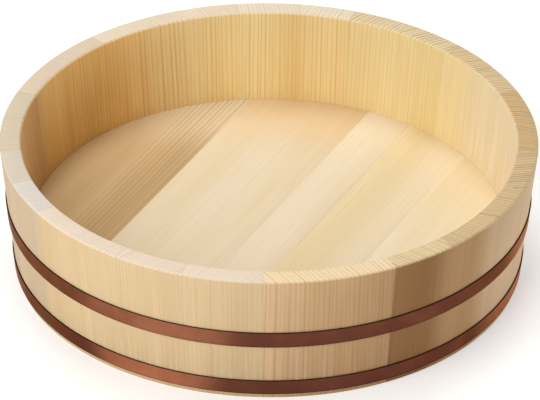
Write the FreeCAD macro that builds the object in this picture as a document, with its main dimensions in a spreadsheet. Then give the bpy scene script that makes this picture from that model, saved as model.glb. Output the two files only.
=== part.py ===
import FreeCAD, Part
import os

import Sketcher

# Coopered rice tub: a flared ring of wooden staves, two flat copper hoops driven onto the cone,
# and a boarded bottom held in a groove cut round the inside of the staves. Hidden bamboo pins
# line up the staves and the boards.
# Origin: middle of the foot ring, on the surface that the tub stands on. +Z is up.

doc = FreeCAD.newDocument("rice_tub")
sheet = doc.addObject("Spreadsheet::Sheet", "Sizes")

# Driving sizes, in millimetres and degrees
SIZES = {
    "rim_dia": 330,           # outside of the rim
    "foot_dia": 312,          # outside of the foot
    "tub_height": 87,
    "wall_thick": 13,         # stave, square to the wall
    "floor_rise": 14.5,       # foot up to the underside of the boards
    "floor_thick": 12,
    "croze_depth": 4,         # groove for the boards, halfway up their edge
    "croze_play": 0.3,        # between the boards' round edge and the bottom of the groove
    "rim_bevel": 1,
    "first_seam": 269,        # direction of the first stave's right-hand joint, from +X
    "hoop_thick": 0.8,
    "hoop_play": 0.1,         # between a hoop and the staves
    "upper_hoop_width": 10.8,
    "upper_hoop_drop": 37.5,  # rim down to its upper edge
    "lower_hoop_width": 10.2,
    "lower_hoop_rise": 3,   # foot up to its lower edge
    "grain_angle": 63.7,      # direction in which the bottom boards run, from +X
    "first_board_seam": 75,   # left of the tub's middle
    "pin_side": 3,            # split bamboo, square in section
    "pin_length": 24,
    "pin_play": 0.1,          # round the pin, and at each of its ends
    "stave_pin_rise": 60,     # foot up to the pins between staves
    "board_pin_reach": 65,    # tub's middle to the pins between boards, along the joint
}

# Stave widths along the rim, counter-clockwise from the first seam: the cooper takes them as
# the wood comes and planes the joints until the ring closes, so each fills its share of the ring
STAVE_WIDTHS = [
    81, 42, 39, 39, 46, 36, 39, 30, 36, 39, 38, 36, 41,
    37, 67, 39, 43, 32, 40, 39, 36, 39, 30, 43, 49,
]

# Bottom boards between the two outer ones, from left to right; the outer two fill up the round
BOARD_WIDTHS = [74, 30, 45]

for order, width in enumerate(STAVE_WIDTHS, start=1):
    SIZES[f"stave_width_{order:02d}"] = width
for order, width in enumerate(BOARD_WIDTHS, start=2):
    SIZES[f"board_width_{order}"] = width

for row, (name, value) in enumerate(SIZES.items(), start=1):
    sheet.set(f"A{row}", name)
    sheet.set(f"B{row}", str(value))
    sheet.setAlias(f"B{row}", name)
doc.recompute()

# Expressions that several pieces share
FLARE = "((Sizes.rim_dia - Sizes.foot_dia) / 2 / Sizes.tub_height)"
FLOOR_BOTTOM = "Sizes.floor_rise"
FLOOR_MIDDLE = "(Sizes.floor_rise + Sizes.floor_thick / 2)"
FLOOR_TOP = "(Sizes.floor_rise + Sizes.floor_thick)"
BOARD_TURN = "(Sizes.grain_angle - 90)"  # boards are drawn running along Y
RING = "(" + " + ".join(f"Sizes.stave_width_{n:02d}" for n in range(1, len(STAVE_WIDTHS) + 1)) + ")"
PIN_HOLE_HALF = "(Sizes.pin_side / 2 + Sizes.pin_play)"
PIN_HOLE_SPAN = "Sizes.pin_length + 2 * Sizes.pin_play"


def wall_radius(height, depth):
    """Radius of the surface that lies a depth inside the staves' outer face, at a height."""
    return f"(Sizes.foot_dia / 2 + {FLARE} * ({height}) - ({depth}) * sqrt(1 + {FLARE}^2))"


# The groove is cut straight up and down, so its bottom and the boards' round edge are upright
CROZE_RADIUS = "(" + wall_radius(FLOOR_MIDDLE, "Sizes.wall_thick") + " + Sizes.croze_depth)"


def value_of(expression):
    """Present value of an expression, for the first drawing of a sketch."""
    return float(sheet.evalExpression(expression))


def new_body(name):
    body = doc.addObject("PartDesign::Body", name)
    body.Label = name
    return body


def new_sketch(body, name, role):
    """Empty sketch on one of the body's own origin planes."""
    sketch = body.newObject("Sketcher::SketchObject", name)
    plane = [feature for feature in body.Origin.OriginFeatures if feature.Role == role][0]
    sketch.AttachmentSupport = [(plane, "")]
    sketch.MapMode = "FlatFace"
    return sketch


def drive(sketch, constraint, expression, name):
    """Adds a constraint and ties it to the sizes."""
    index = sketch.addConstraint(constraint)
    sketch.renameConstraint(index, name)
    sketch.setExpression(f"Constraints.{name}", expression)


def draw_outline(sketch, corners):
    """Closed outline of straight lines through corners given as pairs of expressions."""
    points = [FreeCAD.Vector(value_of(x), value_of(y), 0) for x, y in corners]
    first = sketch.GeometryCount
    for index, point in enumerate(points):
        following = points[(index + 1) % len(points)]
        sketch.addGeometry(Part.LineSegment(point, following), False)
    for index, (x, y) in enumerate(corners):
        line = first + index
        following = first + (index + 1) % len(points)
        sketch.addConstraint(Sketcher.Constraint("Coincident", line, 2, following, 1))
        across = Sketcher.Constraint("DistanceX", -1, 1, line, 1, points[index].x)
        drive(sketch, across, x, f"across_{line}")
        if y == "0":
            sketch.addConstraint(Sketcher.Constraint("PointOnObject", line, 1, -1))
        else:
            up = Sketcher.Constraint("DistanceY", -1, 1, line, 1, points[index].y)
            drive(sketch, up, y, f"up_{line}")


def draw_pin_hole(sketch, across, up):
    """Square hole for a pin, its middle given by expressions."""
    draw_outline(sketch, [
        (f"{across} - {PIN_HOLE_HALF}", f"{up} - {PIN_HOLE_HALF}"),
        (f"{across} + {PIN_HOLE_HALF}", f"{up} - {PIN_HOLE_HALF}"),
        (f"{across} + {PIN_HOLE_HALF}", f"{up} + {PIN_HOLE_HALF}"),
        (f"{across} - {PIN_HOLE_HALF}", f"{up} + {PIN_HOLE_HALF}"),
    ])


def revolve(body, sketch, name, angle):
    """Turns a profile about the tub's axis by an angle given as an expression."""
    feature = body.newObject("PartDesign::Revolution", name)
    feature.Profile = sketch
    feature.ReferenceAxis = (sketch, ["V_Axis"])
    feature.Angle = value_of(angle)
    feature.setExpression("Angle", angle)
    doc.recompute()
    return feature


def level_arcs(shape, height):
    """Names of the round edges that lie at one height."""
    found = []
    for number, edge in enumerate(shape.Edges, start=1):
        level = all(abs(vertex.Z - height) < 1e-6 for vertex in edge.Vertexes)
        if level and isinstance(edge.Curve, Part.Circle):
            found.append(f"Edge{number}")
    return found


def bevel_edges(body, name, base, edges, size):
    """Bevels the named edges of the body's last feature."""
    feature = body.newObject("PartDesign::Chamfer", name)
    feature.Base = (base, edges)
    feature.setExpression("Size", size)
    doc.recompute()


def cut_both_ways(body, sketch, name, span):
    """Pocket that reaches half of its span to either side of its sketch."""
    feature = body.newObject("PartDesign::Pocket", name)
    feature.Profile = sketch
    feature.SideType = "Symmetric"
    feature.setExpression("Length", span)
    doc.recompute()


def turn_about_axis(item, angle):
    """Stands an object at an angle round the tub's axis."""
    item.Placement = FreeCAD.Placement(
        FreeCAD.Vector(), FreeCAD.Rotation(FreeCAD.Vector(0, 0, 1), value_of(angle))
    )
    item.setExpression("Placement.Rotation.Angle", angle)


def stave_start(number):
    """Direction of a stave's right-hand joint."""
    before = [f"Sizes.stave_width_{n:02d}" for n in range(1, number)]
    return "Sizes.first_seam + 360 * (" + " + ".join(["0"] + before) + f") / {RING}"


def add_stave(number):
    """One stave: flared board with the groove for the bottom and a pin hole in each joint."""
    name = f"stave_{number:02d}"
    body = new_body(name)
    arc = f"360 * Sizes.stave_width_{number:02d} / {RING}"

    profile = new_sketch(body, f"{name}_profile", "XZ_Plane")
    draw_outline(profile, [
        (wall_radius("0", "0"), "0"),
        (wall_radius("Sizes.tub_height", "0"), "Sizes.tub_height"),
        (wall_radius("Sizes.tub_height", "Sizes.wall_thick"), "Sizes.tub_height"),
        (wall_radius(FLOOR_TOP, "Sizes.wall_thick"), FLOOR_TOP),
        (CROZE_RADIUS, FLOOR_TOP),
        (CROZE_RADIUS, FLOOR_BOTTOM),
        (wall_radius(FLOOR_BOTTOM, "Sizes.wall_thick"), FLOOR_BOTTOM),
        (wall_radius("0", "Sizes.wall_thick"), "0"),
    ])
    wall = revolve(body, profile, f"{name}_wall", arc)
    rim_edges = level_arcs(wall.Shape, value_of("Sizes.tub_height"))
    bevel_edges(body, f"{name}_rim", wall, rim_edges, "Sizes.rim_bevel")

    pin_radius = wall_radius("Sizes.stave_pin_rise", "Sizes.wall_thick / 2")
    for side, turn in (("right", "0"), ("left", arc)):
        hole = new_sketch(body, f"{name}_{side}_hole", "XZ_Plane")
        hole.AttachmentOffset = FreeCAD.Placement(
            FreeCAD.Vector(), FreeCAD.Rotation(FreeCAD.Vector(0, 1, 0), value_of(turn))
        )
        if side == "left":
            hole.setExpression("AttachmentOffset.Rotation.Angle", turn)
        draw_pin_hole(hole, pin_radius, "Sizes.stave_pin_rise")
        cut_both_ways(body, hole, f"{name}_{side}_pocket", PIN_HOLE_SPAN)

    turn_about_axis(body, stave_start(number))
    return body


def add_hoop(name, low, width):
    """Flat copper band, bent to the cone of the staves and closed at its ends."""
    body = new_body(name)
    high = f"({low} + {width})"
    inner = "-Sizes.hoop_play"
    outer = "-Sizes.hoop_play - Sizes.hoop_thick"

    profile = new_sketch(body, f"{name}_profile", "XZ_Plane")
    draw_outline(profile, [
        (wall_radius(low, inner), low),
        (wall_radius(low, outer), low),
        (wall_radius(high, outer), high),
        (wall_radius(high, inner), high),
    ])
    revolve(body, profile, f"{name}_band", "360")
    return body


def board_seam(number):
    """Place of the joint on a board's right-hand side, across the boards."""
    crossed = [f"Sizes.board_width_{n}" for n in range(2, number + 1)]
    return "(" + " + ".join(["-Sizes.first_board_seam"] + crossed) + ")"


def add_board(number, count):
    """One bottom board: a strip sawn to the round that sits in the staves' groove."""
    name = f"bottom_board_{number}"
    body = new_body(name)
    radius = f"({CROZE_RADIUS} - Sizes.croze_play)"
    seams = []
    left, right = f"-{radius}", radius
    if number > 1:
        left = board_seam(number - 1)
        seams.append(("left", left))
    if number < count:
        right = board_seam(number)
        seams.append(("right", right))

    strip = new_sketch(body, f"{name}_strip", "XY_Plane")
    strip.setExpression("AttachmentOffset.Base.z", FLOOR_BOTTOM)
    draw_outline(strip, [
        (left, f"-{radius}"),
        (right, f"-{radius}"),
        (right, radius),
        (left, radius),
    ])
    plank = body.newObject("PartDesign::Pad", f"{name}_plank")
    plank.Profile = strip
    plank.setExpression("Length", "Sizes.floor_thick")

    over = f"({FLOOR_TOP} + Sizes.floor_thick)"
    under = f"({FLOOR_BOTTOM} - Sizes.floor_thick)"
    beyond = f"(2 * {radius})"
    waste = new_sketch(body, f"{name}_waste", "XZ_Plane")
    draw_outline(waste, [
        (radius, under),
        (radius, over),
        (beyond, over),
        (beyond, under),
    ])
    doc.recompute()
    rounding = body.newObject("PartDesign::Groove", f"{name}_round")
    rounding.Profile = waste
    rounding.ReferenceAxis = (waste, ["V_Axis"])
    rounding.Angle = 360
    doc.recompute()

    for side, seam in seams:
        holes = new_sketch(body, f"{name}_{side}_holes", "YZ_Plane")
        holes.setExpression("AttachmentOffset.Base.z", seam)
        for along in ("-Sizes.board_pin_reach", "Sizes.board_pin_reach"):
            draw_pin_hole(holes, along, FLOOR_MIDDLE)
        cut_both_ways(body, holes, f"{name}_{side}_pockets", PIN_HOLE_SPAN)

    turn_about_axis(body, BOARD_TURN)
    return body


def add_pin(name, length_along, place):
    """One bamboo pin that lies along its own X or Y, its place given as an expression."""
    pin = doc.addObject("Part::Box", name)
    for side in ("Length", "Width", "Height"):
        pin.setExpression(side, "Sizes.pin_length" if side == length_along else "Sizes.pin_side")
    pin.setExpression("Placement", place)
    return pin


def add_pin_group(name, pins):
    """All the pins of one kind, as one group of separate solids."""
    group = doc.addObject("Part::Compound", name)
    group.Label = name
    group.Links = pins
    doc.recompute()
    return group


def turned(angle, corner):
    """Place of a box whose corner is set first, and which is then turned about the tub's axis."""
    turn = f"placement(vector(0; 0; 0); rotation(vector(0; 0; 1); {angle}))"
    seat = f"placement(vector({'; '.join(corner)}); rotation(vector(0; 0; 1); 0))"
    return f"{turn} * {seat}"


def add_stave_pins(count):
    """A pin across each joint of the ring, halfway through the wall."""
    corner = (
        wall_radius("Sizes.stave_pin_rise", "Sizes.wall_thick / 2") + " - Sizes.pin_side / 2",
        "-Sizes.pin_length / 2",
        "Sizes.stave_pin_rise - Sizes.pin_side / 2",
    )
    pins = [
        add_pin(f"stave_pin_{number:02d}", "Width", turned(stave_start(number), corner))
        for number in range(1, count + 1)
    ]
    return add_pin_group("stave_pins", pins)


def add_board_pins(count):
    """Two pins across each joint between the bottom boards, halfway through them."""
    pins = []
    for number in range(1, count):
        for end, along in (("near", "-Sizes.board_pin_reach"), ("far", "Sizes.board_pin_reach")):
            corner = (
                f"{board_seam(number)} - Sizes.pin_length / 2",
                f"{along} - Sizes.pin_side / 2",
                f"{FLOOR_MIDDLE} - Sizes.pin_side / 2",
            )
            pins.append(add_pin(f"board_pin_{number}_{end}", "Length", turned(BOARD_TURN, corner)))
    return add_pin_group("board_pins", pins)


stave_count = len(STAVE_WIDTHS)
board_count = len(BOARD_WIDTHS) + 2
upper_hoop_low = "(Sizes.tub_height - Sizes.upper_hoop_drop - Sizes.upper_hoop_width)"

nodes = [add_stave(number) for number in range(1, stave_count + 1)]
nodes.append(add_hoop("upper_hoop", upper_hoop_low, "Sizes.upper_hoop_width"))
nodes.append(add_hoop("lower_hoop", "Sizes.lower_hoop_rise", "Sizes.lower_hoop_width"))
nodes += [add_board(number, board_count) for number in range(1, board_count + 1)]
nodes.append(add_stave_pins(stave_count))
nodes.append(add_board_pins(board_count))
doc.recompute()

for item in doc.Objects:
    if "Invalid" in item.State or "Error" in item.State:
        raise RuntimeError(f"{item.Name} did not build: {item.State}")
for node in nodes:
    if node.Shape.isNull() or not node.Shape.isValid():
        raise RuntimeError(f"{node.Label} has no sound shape")

os.makedirs("parts", exist_ok=True)
for node in nodes:
    node.Shape.exportStep(f"parts/{node.Label}.step")
    print(f"{node.Label}: {len(node.Shape.Solids)} solids, {node.Shape.Volume / 1000:.2f} cm3")
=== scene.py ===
"""Dressed model of a coopered wooden rice tub: a flared ring of planed staves, two dark copper
hoops and a boarded bottom, on a pale floor in soft studio light."""

import logging
import math
from dataclasses import dataclass, field
from enum import Enum

import bmesh
import bpy
from mathutils import Euler, Matrix, Vector


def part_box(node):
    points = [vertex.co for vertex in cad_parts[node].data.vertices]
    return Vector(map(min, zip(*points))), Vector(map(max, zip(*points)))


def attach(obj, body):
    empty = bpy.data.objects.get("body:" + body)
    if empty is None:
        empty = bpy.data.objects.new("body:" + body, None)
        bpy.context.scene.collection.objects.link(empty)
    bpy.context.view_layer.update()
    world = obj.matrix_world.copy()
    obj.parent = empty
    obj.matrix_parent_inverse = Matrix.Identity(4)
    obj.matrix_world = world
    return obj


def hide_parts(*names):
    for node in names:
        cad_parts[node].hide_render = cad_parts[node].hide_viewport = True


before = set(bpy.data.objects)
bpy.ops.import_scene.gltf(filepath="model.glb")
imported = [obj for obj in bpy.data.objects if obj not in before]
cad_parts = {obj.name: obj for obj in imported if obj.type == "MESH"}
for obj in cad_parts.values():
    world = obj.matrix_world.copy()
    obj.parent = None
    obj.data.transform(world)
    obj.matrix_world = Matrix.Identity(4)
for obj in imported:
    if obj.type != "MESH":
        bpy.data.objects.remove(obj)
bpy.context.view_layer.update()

logging.basicConfig(level=logging.INFO, format="%(message)s")
report = logging.getLogger("rice_tub")

MM = 0.001
UP = Vector((0, 0, 1))
WELD = 0.002 * MM                 # points nearer than this are one
FLAT = math.radians(0.4)          # faces that turn less than this are one flat
SHARP = math.radians(30)          # edges that turn more than this are eased

RIM_DIAMETER = 330
FOOT_DIAMETER = 312
HEIGHT = 87
FLARE = math.degrees(math.atan2((RIM_DIAMETER - FOOT_DIAMETER) / 2, HEIGHT))


def linear(colour: str) -> tuple[float, float, float, float]:
    """Turns an sRGB hex colour into the linear colour that a shader takes.

    Args:
        colour: Six hex digits after a hash sign.

    Returns:
        Linear red, green and blue, and an alpha of 1.
    """
    channels = [int(colour[place:place + 2], 16) / 255 for place in (1, 3, 5)]
    red, green, blue = (
        value / 12.92 if value <= 0.04045 else ((value + 0.055) / 1.055) ** 2.4
        for value in channels
    )
    return red, green, blue, 1.0


def add_node(
    tree: bpy.types.NodeTree,
    kind: str,
    inputs: dict[str | int, object] | None = None,
    **settings: object,
) -> bpy.types.Node:
    """Adds one node with its settings, and fills or links its inputs.

    Args:
        tree: Node tree that takes the node.
        kind: Blender's name of the node's type.
        inputs: Socket name or number, with a value or the output socket to link.
        settings: Properties of the node.

    Returns:
        The new node.
    """
    node = tree.nodes.new(kind)
    for name, value in settings.items():
        setattr(node, name, value)
    for socket, value in (inputs or {}).items():
        if isinstance(value, bpy.types.NodeSocket):
            tree.links.new(value, node.inputs[socket])
        else:
            node.inputs[socket].default_value = value
    return node


def blank_material(name: str) -> tuple[bpy.types.Material, bpy.types.NodeTree]:
    """Makes a material with an empty node tree.

    Args:
        name: Name of the material.

    Returns:
        The material and its node tree.
    """
    material = bpy.data.materials.new(name)
    material.use_nodes = True
    material.node_tree.nodes.clear()
    return material, material.node_tree


@dataclass(frozen=True)
class Shades:
    """Colours of one tone of wood.

    Attributes:
        early: Wide pale part of each growth ring.
        late: Narrow dark line that ends each ring.
        cloud: Broad soft patches within a piece.
        end: End grain, cut across the fibres.
    """

    early: str
    late: str
    cloud: str
    end: str


class Tone(Enum):
    """Tones of the staves and boards as the cooper laid them out; those of the first three staves hold
    painted shade as well.
    """

    FAWN = Shades(early="#e6c398", late="#ac8153", cloud="#d7ae80", end="#f1d7ae")
    BROWN = Shades(early="#ab7f53", late="#7a512d", cloud="#a27448", end="#e4cb9d")
    TAN = Shades(early="#cda477", late="#946842", cloud="#c49a6a", end="#d9bb8f")
    BUFF = Shades(early="#e5c49d", late="#b7936c", cloud="#dfbe96", end="#d5b98e")
    CREAM = Shades(early="#ecdab9", late="#c9aa80", cloud="#e9d5af", end="#d1b07e")
    OAT = Shades(early="#e9d7b1", late="#c7a87d", cloud="#e6d2a8", end="#dcc195")
    STRAW = Shades(early="#ead49e", late="#c6a164", cloud="#e6ce94", end="#e3cda5")
    HONEY = Shades(early="#ecd197", late="#c3995b", cloud="#e9ca8b", end="#eadabf")
    GOLD = Shades(early="#f5dda2", late="#cea262", cloud="#f5d594", end="#e9d6bb")
    GINGER = Shades(early="#f4d99f", late="#d39f60", cloud="#f4d293", end="#e9d7bc")
    AMBER = Shades(early="#efc278", late="#b18047", cloud="#e2b56f", end="#decbb1")
    UMBER = Shades(early="#d5ab72", late="#a07244", cloud="#ca9f68", end="#d7c7ac")
    SHELL = Shades(early="#dec6a6", late="#b69874", cloud="#d7bf9d", end="#d9cbb7")
    CHALK = Shades(early="#dcc3a3", late="#b69874", cloud="#d5bc9a", end="#ddd4c7")
    BISCUIT = Shades(early="#e4c89d", late="#c19f71", cloud="#dfc295", end="#e9d6bf")
    IVORY = Shades(early="#ebdabc", late="#cfb38a", cloud="#e7d4af", end="#e8d5b6")
    MILK = Shades(early="#efe1c6", late="#d2b78f", cloud="#ebdab8", end="#e8d5b6")
    TOAST = Shades(early="#d3b384", late="#a48053", cloud="#c3a273", end="#d8bf99")
    FLAX = Shades(early="#e9d5ac", late="#c6a677", cloud="#e6d0a2", end="#d7b177")


@dataclass(frozen=True)
class Turn:
    """Slow change of tone within one piece.

    Attributes:
        tone: Tone that the wood turns to.
        start: Millimetres from the piece's middle where the change starts.
        end: Millimetres from the middle where it is complete.
        lengthwise: Whether it runs along the fibres, and not across them.
    """

    tone: Tone
    start: float
    end: float
    lengthwise: bool = False


@dataclass(frozen=True)
class Cut:
    """How one piece was sawn from the log.

    Attributes:
        tone: Colours of its wood.
        spacing: Millimetres from one growth ring to the next, square to them.
        lean: Degrees from the radial line to the ring lines on the end grain.
        contrast: Darkness of the ring lines on the planed faces, from 0 to 1.
        rim: Darkness of the same lines on the end grain.
        runout: Millimetres that the lines drift sideways over each millimetre of length.
        turns: Changes of tone within it, one over the other.
        streaks: Further darkness of the lines beside its right-hand edge.
    """

    tone: Tone
    spacing: float
    lean: float
    contrast: float
    rim: float = 0.5
    runout: float = 0.0
    turns: tuple[Turn, ...] = ()
    streaks: float = 0.0


@dataclass(frozen=True)
class Lie:
    """Where a piece of wood lies in the tub.

    Attributes:
        middle: Middle of the piece.
        through: Direction through its thickness.
        across: Direction across its width.
        along: Direction of its fibres.
    """

    middle: Vector
    through: Vector
    across: Vector
    along: Vector

    def rotation(self) -> Euler:
        """Rotation that carries X, Y and Z to through, across and along."""
        return Matrix((self.through, self.across, self.along)).transposed().to_euler("XYZ")


@dataclass(frozen=True)
class PlanedCypress:
    """Quarter-sawn cypress, planed and left bare.

    The plane leaves a dull, even surface. Thin dark lines of late wood run straight along the
    piece, and on the end grain the same lines cross the wall.
    """

    wander: float = 3.0       # mm that a ring line strays along its length
    wander_across: float = 60.0  # mm over which it strays, across the piece
    wander_along: float = 330.0  # and along it
    swell: float = 0.5        # share of a ring by which its width varies
    swell_pace: float = 0.37  # how fast the widths vary from ring to ring
    cloud_width: float = 28.0  # mm across a soft patch
    fibre_width: float = 0.9  # mm; real fibres are finer, drawn as coarse as they show
    roughness: float = 0.7
    gloss: float = 0.2        # specular level; open fibres scatter most of the sheen
    relief: float = 0.02      # mm that late wood stands proud after planing
    end_depth: float = 0.5    # late wood on the end grain drinks in more of the light
    streaks_start: float = 2.0  # mm from a piece's middle where its edge's streaks start
    streaks_end: float = 16.0

    def material(self, name: str, cut: Cut, lie: Lie, number: int) -> bpy.types.Material:
        """Makes the wood of one piece.

        Args:
            name: Name of the material.
            cut: How the piece was sawn.
            lie: Where it lies.
            number: Number of the piece, so that no two pieces show the same grain.

        Returns:
            The material.
        """
        material, tree = blank_material(name)
        shades = cut.tone.value
        lean = math.radians(cut.lean)

        place = add_node(tree, "ShaderNodeTexCoord")
        inside = add_node(tree, "ShaderNodeMapping", {
            "Vector": place.outputs["Object"], "Location": lie.middle,
            "Rotation": lie.rotation(), "Scale": (MM, MM, MM),
        }, vector_type="TEXTURE").outputs["Vector"]

        # Growth rings: distance square to them, with a slow wander and uneven widths
        square = add_node(tree, "ShaderNodeVectorMath", {
            0: inside, 1: (math.sin(lean), math.cos(lean), cut.runout),
        }, operation="DOT_PRODUCT").outputs["Value"]
        slow = add_node(tree, "ShaderNodeVectorMath", {
            0: inside, 1: (1 / self.wander_across, 1 / self.wander_across, 1 / self.wander_along),
        }, operation="MULTIPLY").outputs["Vector"]
        stray = add_node(tree, "ShaderNodeTexNoise", {
            "Vector": slow, "W": 3.7 * number, "Scale": 1.0, "Detail": 1.5,
        }, noise_dimensions="4D").outputs[0]
        strayed = add_node(tree, "ShaderNodeMath", {0: stray, 1: self.wander, 2: square},
                           operation="MULTIPLY_ADD").outputs[0]
        counted = add_node(tree, "ShaderNodeMath", {0: strayed, 1: 1 / cut.spacing},
                           operation="MULTIPLY").outputs[0]
        seasons = add_node(tree, "ShaderNodeTexNoise", {
            "W": counted, "Scale": self.swell_pace, "Detail": 2.0,
        }, noise_dimensions="1D").outputs[0]
        rings = add_node(tree, "ShaderNodeMath", {0: seasons, 1: 3 * self.swell, 2: counted},
                         operation="MULTIPLY_ADD").outputs[0]
        within = add_node(tree, "ShaderNodeMath", {0: rings}, operation="FRACT").outputs[0]
        ring = add_node(tree, "ShaderNodeMath", {0: rings}, operation="FLOOR").outputs[0]
        seeded = add_node(tree, "ShaderNodeMath", {0: ring, 1: 31.0 * number},
                          operation="ADD").outputs[0]
        chance = add_node(tree, "ShaderNodeTexWhiteNoise", {"W": seeded},
                          noise_dimensions="1D").outputs["Value"]
        strength = add_node(tree, "ShaderNodeMapRange", {
            "Value": chance, "To Min": 0.35, "To Max": 1.0,
        }).outputs[0]
        rise = add_node(tree, "ShaderNodeMapRange", {
            "Value": within, "From Min": 0.5, "From Max": 0.88,
        }, interpolation_type="SMOOTHSTEP").outputs[0]
        fall = add_node(tree, "ShaderNodeMapRange", {
            "Value": within, "From Min": 0.90, "From Max": 1.0, "To Min": 1.0, "To Max": 0.0,
        }, interpolation_type="SMOOTHSTEP").outputs[0]
        line = add_node(tree, "ShaderNodeMath", {0: rise, 1: fall},
                        operation="MULTIPLY").outputs[0]
        late = add_node(tree, "ShaderNodeMath", {0: line, 1: strength},
                        operation="MULTIPLY").outputs[0]

        # Soft patches and fine fibres, both drawn out along the piece
        broad = add_node(tree, "ShaderNodeVectorMath", {
            0: inside, 1: (1 / self.cloud_width, 1 / self.cloud_width, 0.12 / self.cloud_width),
        }, operation="MULTIPLY").outputs["Vector"]
        patch = add_node(tree, "ShaderNodeTexNoise", {
            "Vector": broad, "W": 1.9 * number, "Scale": 1.0, "Detail": 2.0,
        }, noise_dimensions="4D").outputs[0]
        clouded = add_node(tree, "ShaderNodeMapRange", {
            "Value": patch, "From Min": 0.35, "From Max": 0.65,
        }, interpolation_type="SMOOTHSTEP").outputs[0]
        thin = add_node(tree, "ShaderNodeVectorMath", {
            0: inside, 1: (1 / self.fibre_width, 1 / self.fibre_width, 0.02 / self.fibre_width),
        }, operation="MULTIPLY").outputs["Vector"]
        fibre = add_node(tree, "ShaderNodeTexNoise", {
            "Vector": thin, "W": 5.3 * number, "Scale": 1.0, "Detail": 3.0,
        }, noise_dimensions="4D").outputs[0]

        # End grain shows where the surface faces along the fibres
        facing = add_node(tree, "ShaderNodeVectorMath", {
            0: place.outputs["Normal"], 1: lie.along,
        }, operation="DOT_PRODUCT").outputs["Value"]
        turned = add_node(tree, "ShaderNodeMath", {0: facing}, operation="ABSOLUTE").outputs[0]
        ends = add_node(tree, "ShaderNodeMapRange", {
            "Value": turned, "From Min": 0.45, "From Max": 0.85,
        }).outputs[0]
        depth = add_node(tree, "ShaderNodeMapRange", {
            "Value": ends, "To Min": cut.contrast, "To Max": cut.rim,
        }).outputs[0]
        reach = add_node(tree, "ShaderNodeSeparateXYZ", {0: inside})
        if cut.streaks:
            streaked = add_node(tree, "ShaderNodeMapRange", {
                "Value": reach.outputs["Y"], "From Min": self.streaks_start,
                "From Max": self.streaks_end, "To Max": cut.streaks,
            }, interpolation_type="SMOOTHSTEP").outputs[0]
            depth = add_node(tree, "ShaderNodeMath", {0: depth, 1: streaked},
                             operation="ADD").outputs[0]
        shown = add_node(tree, "ShaderNodeMath", {0: late, 1: depth},
                         operation="MULTIPLY").outputs[0]

        ground = add_node(tree, "ShaderNodeMix", {
            0: clouded, 6: linear(shades.early), 7: linear(shades.cloud),
        }, data_type="RGBA").outputs[2]
        for turn in cut.turns:
            share = add_node(tree, "ShaderNodeMapRange", {
                "Value": reach.outputs["Z" if turn.lengthwise else "Y"],
                "From Min": turn.start, "From Max": turn.end,
            }, interpolation_type="SMOOTHSTEP").outputs[0]
            ground = add_node(tree, "ShaderNodeMix", {
                0: share, 6: ground, 7: linear(turn.tone.value.early),
            }, data_type="RGBA").outputs[2]
        capped = add_node(tree, "ShaderNodeMix", {
            0: ends, 6: ground, 7: linear(shades.end),
        }, data_type="RGBA").outputs[2]
        late_end = tuple(self.end_depth * part for part in linear(shades.late)[:3]) + (1.0,)
        drawn = add_node(tree, "ShaderNodeMix", {
            0: ends, 6: linear(shades.late), 7: late_end,
        }, data_type="RGBA").outputs[2]
        ringed = add_node(tree, "ShaderNodeMix", {
            0: shown, 6: capped, 7: drawn,
        }, data_type="RGBA").outputs[2]
        streak = add_node(tree, "ShaderNodeMapRange", {
            "Value": fibre, "From Min": 0.3, "From Max": 0.7, "To Min": 0.95, "To Max": 1.02,
        }).outputs[0]
        colour = add_node(tree, "ShaderNodeVectorMath", {0: ringed, "Scale": streak},
                          operation="SCALE").outputs["Vector"]

        height = add_node(tree, "ShaderNodeMath", {0: fibre, 1: 0.5, 2: late},
                          operation="MULTIPLY_ADD").outputs[0]
        relief = add_node(tree, "ShaderNodeBump", {
            "Height": height, "Strength": 1.0, "Distance": self.relief * MM,
        }).outputs["Normal"]
        dull = add_node(tree, "ShaderNodeMapRange", {
            "Value": fibre, "To Min": self.roughness + 0.08, "To Max": self.roughness - 0.08,
        }).outputs[0]
        surface = add_node(tree, "ShaderNodeBsdfPrincipled", {
            "Base Color": colour, "Roughness": dull, "Specular IOR Level": self.gloss,
            "Normal": relief,
        }).outputs["BSDF"]
        add_node(tree, "ShaderNodeOutputMaterial", {"Surface": surface})
        return material


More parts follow.
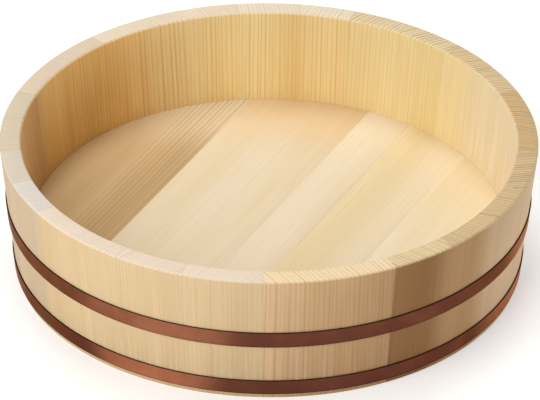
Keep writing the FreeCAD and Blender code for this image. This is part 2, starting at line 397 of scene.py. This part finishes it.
@dataclass(frozen=True)
class AgedCopper:
    """Rolled copper strip, darkened to a satin brown by hands and steam.

    The skin keeps a metal's sheen and varies from plum to orange brown, with two painted highlights at
    fixed angles round the band. It is darkest along the two edges: partly grime, partly painted shade
    where the band meets the wood. Fine rolling lines run round the band.
    """

    # The first colour is the copper of the painted highlights at fixed angles round the band
    highlight_colour: str = "#9c644a"
    brown: str = "#6b4031"
    plum: str = "#633a2e"
    # Colour of both edges of the band: partly grime, partly painted shade where the band meets the wood
    edge_grime_and_shade: str = "#331d13"
    solder: str = "#8d6f5c"
    edge: str = "#e6c8b4"     # tint at a grazing look
    roughness: float = 0.45
    patch: float = 32.0       # mm along a patch of tarnish
    highlight_angles: tuple[float, ...] = (-115.0, -8.0)  # degrees round the band of the painted highlights
    highlight_width: float = 22.0        # degrees round the band that each painted highlight spans
    lines: float = 0.35       # mm between rolling lines
    relief: float = 0.012     # mm that they stand proud
    seam: float = 1.2         # mm across the brazed seam at the back

    def material(self, name: str, low: float, high: float) -> bpy.types.Material:
        """Makes the copper of one hoop.

        Args:
            name: Name of the material.
            low: Height of the hoop's lower edge, in metres.
            high: Height of its upper edge.

        Returns:
            The material.
        """
        material, tree = blank_material(name)
        place = add_node(tree, "ShaderNodeTexCoord").outputs["Object"]
        inside = add_node(tree, "ShaderNodeMapping", {
            "Vector": place, "Scale": (MM, MM, MM),
        }, vector_type="TEXTURE").outputs["Vector"]
        parts = add_node(tree, "ShaderNodeSeparateXYZ", {0: inside})
        across, back, height = (parts.outputs[axis] for axis in "XYZ")

        tarnish = add_node(tree, "ShaderNodeTexNoise", {
            "Vector": inside, "Scale": 1 / self.patch, "Detail": 4.0, "Roughness": 0.6,
        }).outputs[0]
        shift = add_node(tree, "ShaderNodeMapRange", {
            "Value": tarnish, "From Min": 0.35, "From Max": 0.62,
        }, interpolation_type="SMOOTHSTEP").outputs[0]
        worn = add_node(tree, "ShaderNodeMapRange", {
            "Value": tarnish, "From Min": 0.55, "From Max": 0.75, "To Max": 0.8,
        }, interpolation_type="SMOOTHSTEP").outputs[0]
        aged = add_node(tree, "ShaderNodeMix", {
            0: shift, 6: linear(self.plum), 7: linear(self.brown),
        }, data_type="RGBA").outputs[2]
        # Painted highlights at fixed angles round the band, broken up by the tarnish and mixed with
        # random wear
        highlight_share = self.highlight_mask(tree, across, back)
        uneven = add_node(tree, "ShaderNodeMapRange", {
            "Value": tarnish, "From Min": 0.3, "From Max": 0.6, "To Min": 0.55,
        }).outputs[0]
        uneven_highlight = add_node(tree, "ShaderNodeMath", {0: highlight_share, 1: uneven},
                            operation="MULTIPLY").outputs[0]
        bare = add_node(tree, "ShaderNodeMath", {0: worn, 1: 0.25, 2: uneven_highlight},
                        operation="MULTIPLY_ADD", use_clamp=True).outputs[0]
        painted_highlights = add_node(tree, "ShaderNodeMix", {
            0: bare, 6: aged, 7: linear(self.highlight_colour),
        }, data_type="RGBA").outputs[2]

        # Grime and painted shade along both edges of the band, where it meets the wood; the thin dark
        # line at the upper edge stands for the shadow in the gap
        lower_grime_and_shade = add_node(tree, "ShaderNodeMapRange", {
            "Value": height, "From Min": low / MM, "From Max": low / MM + 1.2,
            "To Min": 0.6, "To Max": 0.0,
        }).outputs[0]
        upper_grime_and_shade = add_node(tree, "ShaderNodeMapRange", {
            "Value": height, "From Min": high / MM - 0.55, "From Max": high / MM - 0.15,
        }).outputs[0]
        edges = add_node(tree, "ShaderNodeMath", {0: lower_grime_and_shade, 1: upper_grime_and_shade},
                         operation="MAXIMUM").outputs[0]
        grimed_and_shaded = add_node(tree, "ShaderNodeMix", {
            0: edges, 6: painted_highlights, 7: linear(self.edge_grime_and_shade),
        }, data_type="RGBA").outputs[2]

        # Slanted brazed seam where the strip's ends meet, at the back
        slanted = add_node(tree, "ShaderNodeMath", {0: height, 1: 0.6, 2: across},
                           operation="MULTIPLY_ADD").outputs[0]
        centred = add_node(tree, "ShaderNodeMath", {0: slanted, 1: 0.3 * (low + high) / MM},
                           operation="SUBTRACT").outputs[0]
        off = add_node(tree, "ShaderNodeMath", {0: centred}, operation="ABSOLUTE").outputs[0]
        near = add_node(tree, "ShaderNodeMapRange", {
            "Value": off, "From Min": self.seam / 4, "From Max": self.seam / 2,
            "To Min": 1.0, "To Max": 0.0,
        }).outputs[0]
        behind = add_node(tree, "ShaderNodeMath", {0: back, 1: 0.0},
                          operation="GREATER_THAN").outputs[0]
        seam = add_node(tree, "ShaderNodeMath", {0: near, 1: behind},
                        operation="MULTIPLY").outputs[0]
        colour = add_node(tree, "ShaderNodeMix", {
            0: seam, 6: grimed_and_shaded, 7: linear(self.solder),
        }, data_type="RGBA").outputs[2]

        drawn = add_node(tree, "ShaderNodeVectorMath", {
            0: inside, 1: (0.02, 0.02, 1 / self.lines),
        }, operation="MULTIPLY").outputs["Vector"]
        rolling = add_node(tree, "ShaderNodeTexNoise", {
            "Vector": drawn, "Scale": 1.0, "Detail": 2.0,
        }).outputs[0]
        standing = add_node(tree, "ShaderNodeMath", {0: seam, 1: 2.0, 2: rolling},
                            operation="MULTIPLY_ADD").outputs[0]
        relief = add_node(tree, "ShaderNodeBump", {
            "Height": standing, "Strength": 1.0, "Distance": self.relief * MM,
        }).outputs["Normal"]
        dull = add_node(tree, "ShaderNodeMapRange", {
            "Value": tarnish, "From Min": 0.3, "From Max": 0.7,
            "To Min": self.roughness + 0.1, "To Max": self.roughness - 0.04,
        }).outputs[0]
        surface = add_node(tree, "ShaderNodeBsdfPrincipled", {
            "Base Color": colour, "Metallic": 1.0, "Roughness": dull,
            "Specular Tint": linear(self.edge), "Normal": relief,
        }).outputs["BSDF"]
        add_node(tree, "ShaderNodeOutputMaterial", {"Surface": surface})
        return material

    def highlight_mask(
        self, tree: bpy.types.NodeTree, across: bpy.types.NodeSocket, back: bpy.types.NodeSocket,
    ) -> bpy.types.NodeSocket:
        """Finds how much painted highlight each part of the band takes.

        Args:
            tree: Node tree of the copper.
            across: Place along the tub's X, in millimetres.
            back: Place along its Y.

        Returns:
            Socket that is 1 in the middle of a painted highlight, and 0 away from them.
        """
        around = add_node(tree, "ShaderNodeMath", {0: back, 1: across},
                          operation="ARCTAN2").outputs[0]
        painted_highlights = None
        for angle in self.highlight_angles:
            away = add_node(tree, "ShaderNodeMath", {0: around, 1: math.radians(angle)},
                            operation="SUBTRACT").outputs[0]
            near = add_node(tree, "ShaderNodeMath", {0: away}, operation="COSINE").outputs[0]
            one_highlight = add_node(tree, "ShaderNodeMapRange", {
                "Value": near, "From Min": math.cos(math.radians(self.highlight_width)), "From Max": 1.0,
            }, interpolation_type="SMOOTHSTEP").outputs[0]
            painted_highlights = one_highlight if painted_highlights is None else add_node(tree, "ShaderNodeMath", {
                0: painted_highlights, 1: one_highlight,
            }, operation="MAXIMUM").outputs[0]
        return painted_highlights


@dataclass(frozen=True)
class SplitBamboo:
    """Bamboo split and shaved square for pins: straw coloured, with dark bundles of fibre."""

    straw: str = "#d9bd84"
    bundle: str = "#a98750"
    bundle_width: float = 0.5  # mm
    relief: float = 0.03       # mm that the bundles stand proud
    roughness: float = 0.5

    def material(self, name: str) -> bpy.types.Material:
        """Makes the bamboo.

        Args:
            name: Name of the material.

        Returns:
            The material.
        """
        material, tree = blank_material(name)
        place = add_node(tree, "ShaderNodeTexCoord").outputs["Object"]
        bundles = add_node(tree, "ShaderNodeTexNoise", {
            "Vector": place, "Scale": 1 / (self.bundle_width * MM), "Detail": 2.0,
        }).outputs[0]
        colour = add_node(tree, "ShaderNodeMix", {
            0: bundles, 6: linear(self.straw), 7: linear(self.bundle),
        }, data_type="RGBA").outputs[2]
        relief = add_node(tree, "ShaderNodeBump", {
            "Height": bundles, "Strength": 1.0, "Distance": self.relief * MM,
        }).outputs["Normal"]
        surface = add_node(tree, "ShaderNodeBsdfPrincipled", {
            "Base Color": colour, "Roughness": self.roughness, "Normal": relief,
        }).outputs["BSDF"]
        add_node(tree, "ShaderNodeOutputMaterial", {"Surface": surface})
        return material


def show_piece(
    name: str, mesh: bpy.types.Mesh, node: str, ease: float,
) -> bpy.types.Object:
    """Puts a finished mesh in the scene in place of its CAD node, with its sharp edges eased.

    Args:
        name: Name of the piece.
        mesh: Its mesh, in place.
        node: CAD node that it stands for.
        ease: Width of the easing on its edges, in millimetres.

    Returns:
        The new object.
    """
    mesh.shade_smooth()
    piece = bpy.data.objects.new(name, mesh)
    bpy.context.scene.collection.objects.link(piece)
    bevel = piece.modifiers.new("eased_edges", "BEVEL")
    bevel.width = ease * MM
    bevel.segments = 2
    bevel.limit_method = "ANGLE"
    bevel.angle_limit = SHARP
    bevel.harden_normals = True
    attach(piece, "root")
    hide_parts(node)
    return piece


def merged_mesh(node: str) -> bpy.types.Mesh:
    """Copies a CAD node's mesh with its loose triangles joined and its flats made whole.

    Args:
        node: CAD node to copy.

    Returns:
        The new mesh.
    """
    shape = bmesh.new()
    shape.from_mesh(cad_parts[node].data)
    bmesh.ops.remove_doubles(shape, verts=shape.verts, dist=WELD)
    bmesh.ops.dissolve_limit(
        shape, angle_limit=FLAT, use_dissolve_boundaries=False,
        verts=shape.verts, edges=shape.edges,
    )
    mesh = bpy.data.meshes.new(node)
    shape.to_mesh(mesh)
    shape.free()
    return mesh


def middle_of(node: str) -> Vector:
    """Finds the mean of a CAD node's points, which lies on the plane that halves a stave.

    Args:
        node: CAD node to measure.

    Returns:
        The mean, in metres.
    """
    points = [vertex.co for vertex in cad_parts[node].data.vertices]
    return sum(points, Vector()) / len(points)


@dataclass
class StaveWall:
    """The ring of staves.

    Attributes:
        cuts: How each stave was sawn, from the first one counter-clockwise.
        ease: Easing along the edges of each stave, in millimetres.
        flare: Degrees that the wall leans out from upright.
    """

    cuts: list[Cut]
    ease: float = 0.12
    flare: float = FLARE
    wood: PlanedCypress = field(default_factory=PlanedCypress)

    def lie(self, node: str) -> Lie:
        """Finds where a stave lies.

        Args:
            node: CAD node of the stave.

        Returns:
            Its middle and its own directions.
        """
        middle = middle_of(node)
        outward = Vector((middle.x, middle.y, 0)).normalized()
        along = (UP + outward * math.tan(math.radians(self.flare))).normalized()
        across = UP.cross(outward)
        return Lie(middle, across.cross(along), across, along)

    def build(self) -> None:
        """Makes and dresses every stave."""
        for number, cut in enumerate(self.cuts, start=1):
            node = f"stave_{number:02d}"
            piece = show_piece(f"planed_{node}", merged_mesh(node), node, self.ease)
            piece.data.materials.clear()
            piece.data.materials.append(
                self.wood.material(f"planed_cypress_{node}", cut, self.lie(node), number)
            )
            report.info("%s: %s cypress", piece.name, cut.tone.name.lower())


@dataclass
class Bottom:
    """The bottom boards, side by side in the groove of the staves.

    Attributes:
        cuts: How each board was sawn, from left to right.
        grain_angle: Direction in which the boards run, in degrees from +X.
        ease: Easing along the edges of each board, in millimetres.
        first_grain: Number of the first board's grain, past those of the staves.
    """

    cuts: list[Cut]
    grain_angle: float = 63.7
    ease: float = 0.12
    first_grain: int = 41
    wood: PlanedCypress = field(default_factory=PlanedCypress)

    def build(self) -> None:
        """Makes and dresses every board."""
        turn = math.radians(self.grain_angle)
        along = Vector((math.cos(turn), math.sin(turn), 0))
        for place, cut in enumerate(self.cuts):
            node = f"bottom_board_{place + 1}"
            piece = show_piece(f"planed_{node}", merged_mesh(node), node, self.ease)
            lie = Lie(middle_of(node), UP, along.cross(UP), along)
            piece.data.materials.clear()
            piece.data.materials.append(
                self.wood.material(f"planed_cypress_{node}", cut, lie, self.first_grain + place)
            )
            report.info("%s: %s cypress", piece.name, cut.tone.name.lower())


@dataclass
class Hoop:
    """A flat copper band bent to the cone of the staves.

    Attributes:
        node: CAD node of the hoop.
        thickness: Thickness of the strip, in millimetres.
        flare: Degrees that the band leans out from upright.
        steps: Facets round the band.
        ease: Rounding of the strip's edges, in millimetres.
    """

    node: str
    thickness: float = 0.8
    flare: float = FLARE
    steps: int = 240
    ease: float = 0.22
    copper: AgedCopper = field(default_factory=AgedCopper)

    def build(self) -> None:
        """Spins the band and dresses it."""
        lowest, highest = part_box(self.node)
        rise = highest.z - lowest.z
        outer_top = highest.x
        outer_foot = outer_top - rise * math.tan(math.radians(self.flare))
        inward = self.thickness * MM / math.cos(math.radians(self.flare))
        shape = bmesh.new()
        corners = [
            shape.verts.new((radius, 0, height))
            for radius, height in (
                (outer_foot, lowest.z), (outer_top, highest.z),
                (outer_top - inward, highest.z), (outer_foot - inward, lowest.z),
            )
        ]
        outline = [
            shape.edges.new((corners[place], corners[place - 1])) for place in range(len(corners))
        ]
        bmesh.ops.spin(
            shape, geom=corners + outline, cent=(0, 0, 0), axis=UP, dvec=(0, 0, 0),
            angle=2 * math.pi, steps=self.steps, use_merge=True,
        )
        bmesh.ops.remove_doubles(shape, verts=shape.verts, dist=WELD)
        bmesh.ops.recalc_face_normals(shape, faces=shape.faces)
        mesh = bpy.data.meshes.new(self.node)
        shape.to_mesh(mesh)
        shape.free()
        piece = show_piece(f"bent_{self.node}", mesh, self.node, self.ease)
        piece.data.materials.append(
            self.copper.material(f"aged_copper_{self.node}", lowest.z, highest.z)
        )
        report.info("%s: %d facets round", piece.name, self.steps)


@dataclass
class Pins:
    """The bamboo pins hidden in the joints, which keep their CAD shapes."""

    nodes: tuple[str, ...] = ("stave_pins", "board_pins")
    bamboo: SplitBamboo = field(default_factory=SplitBamboo)

    def build(self) -> None:
        """Dresses both groups of pins."""
        finish = self.bamboo.material("split_bamboo")
        for node in self.nodes:
            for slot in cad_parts[node].material_slots:
                slot.material = finish
            report.info("%s: split bamboo", node)


@dataclass(frozen=True)
class SoftLight:
    """A square studio light that faces the tub.

    Attributes:
        name: Name of the lamp.
        azimuth: Direction in which it stands, in degrees from +X.
        elevation: Degrees above the floor.
        level: Brightness of white paper that squarely faces it, where 1 is white.
        size: Width of the light, in metres.
        distance: Metres from the tub.
        colour: Colour of the light.
    """

    name: str
    azimuth: float
    elevation: float
    level: float
    size: float = 1.6
    distance: float = 3.0
    colour: str = "#ffffff"

    def build(self, aim: Vector) -> None:
        """Hangs the light.

        Args:
            aim: Point that it faces.
        """
        turn, tip = math.radians(self.azimuth), math.radians(self.elevation)
        towards = Vector((
            math.cos(turn) * math.cos(tip), math.sin(turn) * math.cos(tip), math.sin(tip),
        ))
        lamp = bpy.data.lights.new(self.name, "AREA")
        lamp.size = self.size
        lamp.energy = self.level * (math.pi * self.distance) ** 2
        lamp.color = linear(self.colour)[:3]
        item = bpy.data.objects.new(self.name, lamp)
        item.location = aim + towards * self.distance
        item.rotation_euler = towards.to_track_quat("Z", "Y").to_euler()
        bpy.context.scene.collection.objects.link(item)


@dataclass
class Studio:
    """Pale floor, white surroundings and soft lights.

    Attributes:
        lights: The lamps.
        fill: Brightness of the surroundings as they light the tub.
        aim_height: Metres above the floor at which the lamps are aimed.
        floor_radius: Radius of the floor, in metres.
        floor_drop: Hair's breadth in metres that parts the floor from the foot.
        floor_colour: Colour of the floor.
        floor_lift: Light that the floor adds in the camera's eye, to bring it to white.
    """

    lights: list[SoftLight]
    fill: float = 0.19
    aim_height: float = 0.06
    floor_radius: float = 6.0
    floor_drop: float = 0.00005
    floor_colour: str = "#dedcd8"
    floor_lift: float = 0.44

    def build(self) -> None:
        """Makes the floor, the surroundings and the lights."""
        self.lay_floor()
        self.light_surroundings()
        for light in self.lights:
            light.build(Vector((0, 0, self.aim_height)))
        report.info("studio: %d lights", len(self.lights))

    def seen_directly(self, tree: bpy.types.NodeTree) -> bpy.types.NodeSocket:
        """Finds the rays that show a surface as it is, to the eye or in a gloss or glass.

        Args:
            tree: Node tree that asks.

        Returns:
            Socket that is 1 on such rays, and 0 on those that light other things.
        """
        rays = add_node(tree, "ShaderNodeLightPath")
        glossy = add_node(tree, "ShaderNodeMath", {
            0: rays.outputs["Is Camera Ray"], 1: rays.outputs["Is Glossy Ray"],
        }, operation="MAXIMUM").outputs[0]
        return add_node(tree, "ShaderNodeMath", {
            0: glossy, 1: rays.outputs["Is Transmission Ray"],
        }, operation="MAXIMUM").outputs[0]

    def lay_floor(self) -> None:
        """Makes the floor, which keeps the tub's shadow."""
        shape = bmesh.new()
        bmesh.ops.create_circle(
            shape, cap_ends=True, segments=96, radius=self.floor_radius,
            matrix=Matrix.Translation((0, 0, -self.floor_drop)),
        )
        mesh = bpy.data.meshes.new("studio_floor")
        shape.to_mesh(mesh)
        shape.free()
        floor = bpy.data.objects.new("studio_floor", mesh)
        bpy.context.scene.collection.objects.link(floor)
        material, tree = blank_material("painted_floor")
        lift = add_node(tree, "ShaderNodeMath", {
            0: self.seen_directly(tree), 1: self.floor_lift,
        }, operation="MULTIPLY").outputs[0]
        surface = add_node(tree, "ShaderNodeBsdfPrincipled", {
            "Base Color": linear(self.floor_colour), "Roughness": 0.9,
            "Specular IOR Level": 0.0, "Emission Color": (1, 1, 1, 1), "Emission Strength": lift,
        }).outputs["BSDF"]
        add_node(tree, "ShaderNodeOutputMaterial", {"Surface": surface})
        mesh.materials.append(material)

    def light_surroundings(self) -> None:
        """Makes the surroundings white to look at, and dimmer as a light."""
        world = bpy.data.worlds.new("studio_surroundings")
        world.use_nodes = True
        tree = world.node_tree
        tree.nodes.clear()
        strength = add_node(tree, "ShaderNodeMapRange", {
            "Value": self.seen_directly(tree), "To Min": self.fill, "To Max": 1.0,
        }).outputs[0]
        light = add_node(tree, "ShaderNodeBackground", {
            "Color": (1, 1, 1, 1), "Strength": strength,
        }).outputs[0]
        add_node(tree, "ShaderNodeOutputWorld", {"Surface": light})
        bpy.context.scene.world = world


@dataclass(frozen=True)
class Viewpoint:
    """The camera, where the photograph was taken from.

    Attributes:
        place: Where it stands, in metres.
        pitch: Degrees that it looks down.
        yaw: Degrees that it turns to the left.
        roll: Degrees that it leans to the left.
        lens: Focal length, in millimetres.
        sensor: Width of the picture behind the lens, in millimetres.
    """

    place: tuple[float, float, float] = (0.0, -2.6602, 1.7033)
    pitch: float = 32.0
    yaw: float = -0.021
    roll: float = 0.578
    lens: float = 339.0
    sensor: float = 36.0

    def build(self) -> None:
        """Sets up the camera, and colours that show as they are written."""
        camera = bpy.data.cameras.new("viewpoint")
        camera.lens = self.lens
        camera.sensor_width = self.sensor
        camera.sensor_fit = "HORIZONTAL"
        item = bpy.data.objects.new("viewpoint", camera)
        item.matrix_world = (
            Matrix.Translation(self.place)
            @ Matrix.Rotation(math.radians(self.yaw), 4, "Z")
            @ Matrix.Rotation(math.radians(90 - self.pitch), 4, "X")
            @ Matrix.Rotation(math.radians(self.roll), 4, "Z")
        )
        bpy.context.scene.collection.objects.link(item)
        bpy.context.scene.camera = item
        bpy.context.scene.view_settings.view_transform = "Standard"
        report.info("viewpoint: %.1f mm lens", self.lens)


# From the stave right of the front, counter-clockwise
STAVE_CUTS = [
    # Staves 01 to 03 darken towards stave 02 and pale again beyond it: partly their own tones, partly
    # painted shade of the dark band on the front right of the wall
    Cut(
        Tone.FAWN, spacing=2.6, lean=-20, contrast=0.45, rim=0.4, runout=0.01,
        turns=(Turn(Tone.TAN, 12, 46),),
    ),
    Cut(Tone.BROWN, spacing=2.3, lean=-18, contrast=0.2, rim=0.6, turns=(Turn(Tone.TAN, 2, 26),)),
    Cut(Tone.TAN, spacing=2.2, lean=-6, contrast=0.25, rim=0.6, turns=(Turn(Tone.BUFF, 0, 26),)),
    Cut(Tone.BUFF, spacing=2.4, lean=-12, contrast=0.25, rim=0.8),
    Cut(Tone.BUFF, spacing=2.0, lean=-24, contrast=0.3, rim=1.0),
    Cut(Tone.CREAM, spacing=1.9, lean=18, contrast=0.2, rim=1.0),
    Cut(Tone.CREAM, spacing=2.3, lean=22, contrast=0.12, rim=1.0),
    Cut(Tone.OAT, spacing=2.3, lean=12, contrast=0.12, rim=0.8),
    Cut(Tone.OAT, spacing=2.3, lean=20, contrast=0.18, rim=1.0, turns=(Turn(Tone.STRAW, -18, 4),)),
    Cut(Tone.STRAW, spacing=2.5, lean=24, contrast=0.3, rim=0.9),
    Cut(Tone.STRAW, spacing=2.6, lean=18, contrast=0.4, rim=0.7),
    Cut(Tone.HONEY, spacing=2.6, lean=10, contrast=0.5, rim=0.3, runout=-0.01),
    Cut(Tone.HONEY, spacing=2.4, lean=-10, contrast=0.5, rim=0.25, turns=(Turn(Tone.GOLD, -16, 8),)),
    Cut(Tone.GOLD, spacing=2.6, lean=-16, contrast=0.55, rim=0.2, turns=(Turn(Tone.GINGER, -4, 20),)),
    Cut(Tone.GINGER, spacing=2.8, lean=-20, contrast=0.6, rim=0.15, turns=(Turn(Tone.AMBER, -26, 34),)),
    Cut(Tone.AMBER, spacing=2.4, lean=-12, contrast=0.45, rim=0.15),
    Cut(Tone.AMBER, spacing=2.4, lean=-4, contrast=0.45, rim=0.15, turns=(Turn(Tone.UMBER, 0, 30),)),
    Cut(Tone.UMBER, spacing=2.2, lean=4, contrast=0.35, rim=0.15),
    Cut(Tone.UMBER, spacing=2.2, lean=0, contrast=0.3, rim=0.2),
    Cut(Tone.SHELL, spacing=2.2, lean=8, contrast=0.22, rim=0.2),
    Cut(Tone.CHALK, spacing=2.0, lean=14, contrast=0.2, rim=0.2),
    Cut(Tone.BISCUIT, spacing=2.0, lean=18, contrast=0.2, rim=0.25),
    Cut(Tone.BISCUIT, spacing=2.2, lean=22, contrast=0.2, rim=0.3),
    Cut(Tone.BISCUIT, spacing=2.2, lean=24, contrast=0.2, rim=0.35),
    Cut(Tone.BISCUIT, spacing=2.6, lean=20, contrast=0.25, rim=0.15),
]

# From the board on the left to the one on the right
BOARD_CUTS = [
    Cut(
        Tone.TOAST, spacing=2.6, lean=30, contrast=0.12, streaks=0.5,
        turns=(Turn(Tone.CREAM, 35, 120, lengthwise=True),),
    ),
    Cut(
        Tone.IVORY, spacing=6.0, lean=34, contrast=0.1,
        turns=(Turn(Tone.BISCUIT, 60, 130, lengthwise=True),),
    ),
    Cut(Tone.IVORY, spacing=4.0, lean=20, contrast=0.08),
    Cut(Tone.FLAX, spacing=3.2, lean=16, contrast=0.14, turns=(Turn(Tone.CREAM, -8, 14),)),
    Cut(
        Tone.MILK, spacing=6.0, lean=32, contrast=0.1,
        turns=(Turn(Tone.FLAX, -20, 120, lengthwise=True),),
    ),
]

LIGHTS = [
    SoftLight("window_light", azimuth=-131, elevation=34, level=0.81, size=2.4),
    SoftLight("right_reflector", azimuth=20, elevation=3, level=0.45, size=1.0),
    SoftLight("back_light", azimuth=97, elevation=72, level=0.52, size=1.6),
]


def main() -> None:
    """Builds and dresses the tub, then sets it in the studio."""
    StaveWall(STAVE_CUTS).build()
    Bottom(BOARD_CUTS).build()
    Hoop("upper_hoop").build()
    # The lower hoop's painted highlights sit at other angles and are brighter
    painted_highlights = AgedCopper(highlight_colour="#af7154", highlight_angles=(-116.0, -21.0), highlight_width=18.0)
    Hoop("lower_hoop", copper=painted_highlights).build()
    Pins().build()
    Studio(LIGHTS).build()
    Viewpoint().build()


if __name__ == "__main__":
    main()
